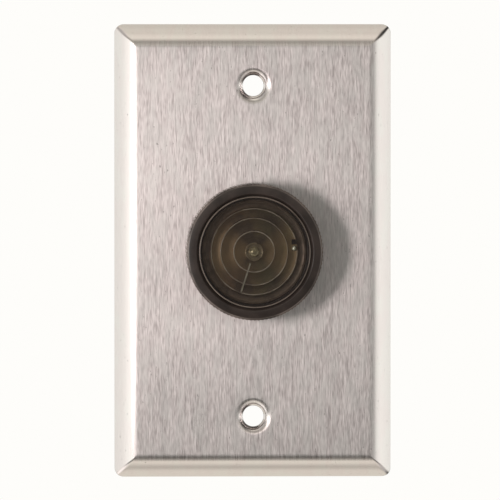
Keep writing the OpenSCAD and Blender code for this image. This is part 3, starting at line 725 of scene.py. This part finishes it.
def cut_away(piece, corner, opposite):
    """Cuts a box, given by two drawn corners, out of a piece's mesh."""
    bm = bmesh.new()
    bmesh.ops.create_cube(bm, size=1)
    low, high = world(*corner), world(*opposite)
    for vert in bm.verts:
        vert.co = [(a + b) / 2 + (b - a) * c for a, b, c in zip(low, high, vert.co)]
    bmesh.ops.recalc_face_normals(bm, faces=bm.faces)
    mesh = bpy.data.meshes.new("cutter")
    bm.to_mesh(mesh)
    bm.free()
    cutter = bpy.data.objects.new("cutter", mesh)
    bpy.context.scene.collection.objects.link(cutter)
    cut = piece.modifiers.new("cut", "BOOLEAN")
    cut.object = cutter
    cut.solver = "EXACT"
    with bpy.context.temp_override(object=piece):
        bpy.ops.object.modifier_move_to_index(modifier="cut", index=0)
        bpy.ops.object.modifier_apply(modifier="cut")
    bpy.data.objects.remove(cutter)


def hollow(outer, inner):
    """Points from radius outer to inner across a shallow hollow."""
    steps, depth = 8, 0.15
    points = []
    for k in range(steps + 1):
        s = k / steps
        points.append((outer + (inner - outer) * s, DISC_H - depth * math.sin(math.pi * s)))
    return points


def screw_cap():
    """Cap with a beaded flange and a domed nub, hollow behind for the screw's head."""
    low, high = depth_range("screw_cap")
    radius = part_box("screw_cap")[1].x / MM
    flange_h, nub_r = low + 1.15, 1.35
    socket_r, socket_h = 1.95, low + 0.85
    corners = [(socket_r, low, 0), (radius, low, 0.1), (radius, flange_h, 0.14),
               (radius - 0.3, flange_h, 0.14), (radius - 0.4, flange_h - 0.12, 0.1),
               (nub_r, flange_h - 0.12, 0.1)]
    for k in range(15):
        a = math.pi / 2 * k / 14
        corners.append((nub_r * math.cos(a), flange_h + (high - flange_h) * math.sin(a), 0))
    corners += [(0, socket_h, 0), (socket_r, socket_h, 0)]
    verts, faces = lathe(fillet(corners), 64)
    piece = make_piece("cap", verts, faces, MATERIALS["cap_olive"], "knob",
                       ["screw_cap"])
    piece.data.materials.append(MATERIALS["cap_gilt"])
    for face in piece.data.polygons:
        x, h, y = face.center / MM
        if math.hypot(x, y) < nub_r and -h > flange_h:
            face.material_index = 1


def index_pin():
    """Straight pin with a round end."""
    low, high = depth_range("index_pin")
    box_low, box_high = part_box("index_pin")
    radius = (box_high.x - box_low.x) / 2 / MM
    centre = ((box_low.x + box_high.x) / 2 / MM, (box_low.z + box_high.z) / 2 / MM)
    outline = [(0, low), (radius, low)]
    for k in range(13):
        a = math.pi / 2 * k / 12
        outline.append((radius * math.cos(a), high - radius + radius * math.sin(a)))
    verts, faces = lathe(outline, 40, centre=centre)
    make_piece("pin", verts, faces, MATERIALS["pin_pale"], "knob", ["index_pin"])


# Springs


def return_spring(side):
    """Helical spring in place of a return spring node, on a mesh of its own."""
    node = "return_spring_" + side
    low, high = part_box(node)
    centre = ((low.x + high.x) / 2 / MM, 0)
    outer = (high.x - low.x) / 2 / MM
    wire_r, turns = 0.3, 7
    length = (high.y - low.y) / MM

    def along(c, u, v, w):
        return (c[0] + u, c[1] + v, w)

    verts, faces = helix(centre, -high.y / MM, length, outer - wire_r, wire_r, turns, along)
    piece = make_piece("spring_" + side, verts, faces, MATERIALS["hard_steel"], "switch_body",
                       [node])
    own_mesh(piece)


def detent_springs():
    """The two springs behind the balls, on one line through the axis."""
    low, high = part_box("detent_springs")
    mid_h = -(low.y + high.y) / 2 / MM
    reach = high.z / MM
    start, mean_r, wire_r, turns = 3.45, 1.05, 0.2, 3
    verts, faces = [], []
    for side in (1, -1):
        def along(c, u, v, w, side=side):
            return (u, side * w, mid_h + v)
        more, more_faces = helix((0, 0), start, reach - start, mean_r, wire_r, turns, along)
        faces += [tuple(i + len(verts) for i in f) for f in more_faces]
        verts += more
    make_piece("ball_springs", verts, faces, MATERIALS["hard_steel"], "knob",
               ["detent_springs"])


# CAD nodes that keep their shape


def dress(node, material, edge):
    """Gives a CAD node a finish and slightly rounded edges, edge in millimetres."""
    obj = frame["nodes"][node]
    obj.data.materials.clear()
    obj.data.materials.append(MATERIALS[material])
    weld = obj.modifiers.new("weld", "WELD")
    weld.merge_threshold = 1e-6
    merge = obj.modifiers.new("merge", "DECIMATE")
    merge.decimate_type = "DISSOLVE"
    merge.angle_limit = math.radians(1)
    bevel = obj.modifiers.new("edges", "BEVEL")
    bevel.width = edge * MM
    bevel.segments = 2
    bevel.limit_method = "ANGLE"
    bevel.angle_limit = math.radians(38)
    normals = obj.modifiers.new("normals", "WEIGHTED_NORMAL")
    normals.keep_sharp = True


KEPT_NODES = {
    "panel_gasket": ("seal_rubber", 0.1), "operator_body": ("operator_zinc", 0.1),
    "shaft_seal": ("seal_rubber", 0.02), "lock_washer": ("plated_steel", 0.08),
    "ring_nut": ("plated_steel", 0.2), "pointer_line": ("pointer_ivory", 0.06),
    "hub_insert": ("brass", 0.1), "knob_screw": ("plated_steel", 0.08),
    "shaft": ("hard_steel", 0.1), "rotor_cam": ("acetal_white", 0.1),
    "rotor_screw": ("plated_steel", 0.08), "detent_balls": ("hard_steel", 0.01),
    "rod_guide": ("acetal_white", 0.1), "push_rod_right": ("contact_green", 0.08),
    "push_rod_left": ("contact_green", 0.08), "block_carrier": ("carrier_grey", 0.2),
    "carrier_screw": ("plated_steel", 0.08), "block_screws": ("plated_steel", 0.08),
}
SIDE_NODES = {
    "block_housing": ("housing_black", 0.15), "block_cover": ("cover_clear", 0.12),
    "plunger": ("contact_green", 0.1), "bridge": ("copper", 0.06),
    "bridge_tips": ("contact_silver", 0.06), "terminals": ("brass", 0.06),
    "fixed_tips": ("contact_silver", 0.06), "terminal_screws": ("plated_steel", 0.1),
    "wire_clamps": ("plated_steel", 0.08),
}

wall_plate()
knob_collar()
lens()
index_disc()
screw_cap()
index_pin()
detent_springs()
for node, (material, edge) in KEPT_NODES.items():
    dress(node, material, edge)
for side in ("right", "left"):
    return_spring(side)
    for part, (material, edge) in SIDE_NODES.items():
        dress(part + "_" + side, material, edge)


# Studio


def studio():
    """A pale room: white to the camera, with soft boxes at the sides, above and below."""
    room = bpy.data.worlds.new("room")
    bpy.context.scene.world = room
    room.use_nodes = True
    tree = room.node_tree
    tree.nodes.clear()

    def add(kind, **settings):
        node = tree.nodes.new(kind)
        for name, value in settings.items():
            setattr(node, name, value)
        return node

    def ramp(value, stops):
        """A ramp of grey levels all the way round, stops given as (degrees, level)."""
        low, high = -180, 180
        share = add("ShaderNodeMapRange")
        share.inputs["From Min"].default_value = math.radians(low)
        share.inputs["From Max"].default_value = math.radians(high)
        tree.links.new(value, share.inputs["Value"])
        node = add("ShaderNodeValToRGB")
        node.color_ramp.interpolation = "EASE"
        points = node.color_ramp.elements
        while len(points) < len(stops):
            points.new(0.5)
        for point, (angle, level) in zip(points, stops):
            point.position = (angle - low) / (high - low)
            point.color = (level, level, level, 1)
        tree.links.new(share.outputs["Result"], node.inputs["Fac"])
        return node.outputs["Color"]

    direction = add("ShaderNodeTexCoord").outputs["Generated"]
    apart = add("ShaderNodeSeparateXYZ")
    tree.links.new(direction, apart.inputs[0])
    facing = add("ShaderNodeMath", operation="MULTIPLY")
    facing.inputs[1].default_value = -1
    tree.links.new(apart.outputs["Y"], facing.inputs[0])
    azimuth = add("ShaderNodeMath", operation="ARCTAN2")
    tree.links.new(apart.outputs["X"], azimuth.inputs[0])
    tree.links.new(facing.outputs[0], azimuth.inputs[1])
    elevation = add("ShaderNodeMath", operation="ARCSINE")
    tree.links.new(apart.outputs["Z"], elevation.inputs[0])

    def scaled(value, low, high, new_low, new_high):
        node = add("ShaderNodeMapRange", interpolation_type="SMOOTHSTEP")
        tree.links.new(value, node.inputs["Value"])
        for socket, level in zip(("From Min", "From Max", "To Min", "To Max"),
                                 (low, high, new_low, new_high)):
            node.inputs[socket].default_value = level
        return node.outputs["Result"]

    steep = add("ShaderNodeMath", operation="ABSOLUTE")
    tree.links.new(elevation.outputs[0], steep.inputs[0])
    light = add("ShaderNodeMix", data_type="RGBA")
    low, high = (math.radians(angle) for angle in HORIZON_BAND)
    tree.links.new(scaled(steep.outputs[0], low, high, 0, 1), light.inputs["Factor"])
    pitch = add("ShaderNodeMath", operation="ARCTAN2")
    tree.links.new(apart.outputs["Z"], pitch.inputs[0])
    tree.links.new(facing.outputs[0], pitch.inputs[1])
    for angle, stops, tint, socket in ((azimuth, SIDE_LIGHT, SIDE_TINT, 6),
                                       (pitch, HEIGHT_LIGHT, HEIGHT_TINT, 7)):
        tinted = add("ShaderNodeMix", data_type="RGBA", blend_type="MULTIPLY")
        tinted.inputs["Factor"].default_value = 1
        tree.links.new(ramp(angle.outputs[0], stops), tinted.inputs[6])
        tinted.inputs[7].default_value = tint
        tree.links.new(tinted.outputs[2], light.inputs[socket])
    shown = light.outputs[2]
    for patch_azimuth, patch_elevation, reach, level in CORNER_LIGHT:
        near = add("ShaderNodeVectorMath", operation="DOT_PRODUCT")
        tree.links.new(direction, near.inputs[0])
        near.inputs[1].default_value = outward(patch_azimuth, patch_elevation)
        patched = add("ShaderNodeMix", data_type="RGBA")
        rim, core = math.cos(math.radians(reach)), math.cos(math.radians(reach / 3))
        tree.links.new(scaled(near.outputs["Value"], rim, core, 0, 1),
                       patched.inputs["Factor"])
        tree.links.new(shown, patched.inputs[6])
        patched.inputs[7].default_value = (level, level, 0.97 * level, 1)
        shown = patched.outputs[2]
    lit = add("ShaderNodeBackground")
    lit.inputs["Strength"].default_value = ROOM_LIGHT
    tree.links.new(shown, lit.inputs["Color"])
    seen = add("ShaderNodeBackground")
    seen.inputs["Color"].default_value = srgb(254, 253, 250)
    rays = add("ShaderNodeLightPath")
    choose = add("ShaderNodeMixShader")
    tree.links.new(rays.outputs["Is Camera Ray"], choose.inputs["Fac"])
    tree.links.new(lit.outputs[0], choose.inputs[1])
    tree.links.new(seen.outputs[0], choose.inputs[2])
    tree.links.new(choose.outputs[0], add("ShaderNodeOutputWorld").inputs["Surface"])


def key_lamp():
    """A small upright soft lamp at the left, which casts the knob's shadow."""
    light = bpy.data.lights.new("key", "AREA")
    light.shape = "ELLIPSE"
    light.size = 0.06
    light.size_y = 0.12
    light.energy = 0.4
    light.color = (1.0, 0.94, 0.93)
    obj = bpy.data.objects.new("key", light)
    towards = outward(-36, 1)
    obj.location = towards * 0.38
    obj.rotation_mode = "QUATERNION"
    obj.rotation_quaternion = towards.to_track_quat("Z", "Y")
    bpy.context.scene.collection.objects.link(obj)


# Levels of the room's light: by azimuth near the horizon, by pitch away from it, and in
# patches (azimuth, elevation, reach, level) towards the corners
SIDE_LIGHT = ((-180, 0.4), (-128, 0.54), (-110, 0.565), (-93, 0.57), (-79, 0.62), (-68, 0.69),
              (-58, 0.71), (-44, 0.67), (-28, 0.24), (-10, 0.1), (4, 0.1), (18, 0.13), (30, 0.14),
              (42, 0.25), (52, 0.37), (62, 0.53), (72, 0.64), (82, 0.66), (97, 0.62),
              (125, 0.58), (180, 0.4))
HEIGHT_LIGHT = ((-180, 0.4), (-115, 0.48), (-104, 0.475), (-84, 0.335), (-66, 0.5), (-57, 0.5),
                (-45, 0.22), (-33, 0.02), (-15, 0.05), (0, 0.2), (12, 0.42), (22, 0.38), (34, 0.24),
                (48, 0.24), (57, 0.4), (68, 0.58), (90, 0.475), (125, 0.41), (180, 0.4))
CORNER_LIGHT = ((-85, 43, 40, 0.3), (-85, -43, 36, 0.75), (85, -43, 36, 0.34), (80, 42, 44, 0.02),
                (130, 36, 30, 0.03), (130, -36, 34, 0.02))
SIDE_TINT = (1, 1.035, 0.99, 1)
HEIGHT_TINT = (1, 0.98, 0.875, 1)
HORIZON_BAND = (8, 20)  # elevations between which the first kind gives way to the second
ROOM_LIGHT = 1.9

studio()
key_lamp()


def floor():
    """A pale disc well below the switch, which hangs as on a wall. It isn't mirrored in it."""
    radius, drop = 0.6, 0.6
    mesh = bpy.data.meshes.new("floor")
    bm = bmesh.new()
    bmesh.ops.create_circle(bm, cap_ends=True, segments=96, radius=radius)
    bm.to_mesh(mesh)
    bm.free()
    mesh.materials.append(plain_finish(
        "floor_pale", srgb(228, 226, 222), srgb(236, 234, 230), (0.7, 0.85), 2, 0.05, patch=80))
    disc = bpy.data.objects.new("floor", mesh)
    disc.location.z = -drop
    disc.visible_glossy = False
    bpy.context.scene.collection.objects.link(disc)


def camera():
    """Long lens from slightly left and above; view_height is what it takes in at the plate."""
    distance, view_height = 2.0, 126.0 * MM
    lens_data = bpy.data.cameras.new("camera")
    lens_data.lens = lens_data.sensor_width * distance / view_height
    obj = bpy.data.objects.new("camera", lens_data)
    back = outward(-2.2, 1.7)
    aim = world(-0.85, 0.27, FACE_H)
    obj.location = aim + back * distance
    obj.rotation_mode = "QUATERNION"
    obj.rotation_quaternion = back.to_track_quat("Z", "Y")
    bpy.context.scene.collection.objects.link(obj)
    bpy.context.scene.camera = obj


floor()
camera()
bpy.context.scene.view_settings.view_transform = "Standard"
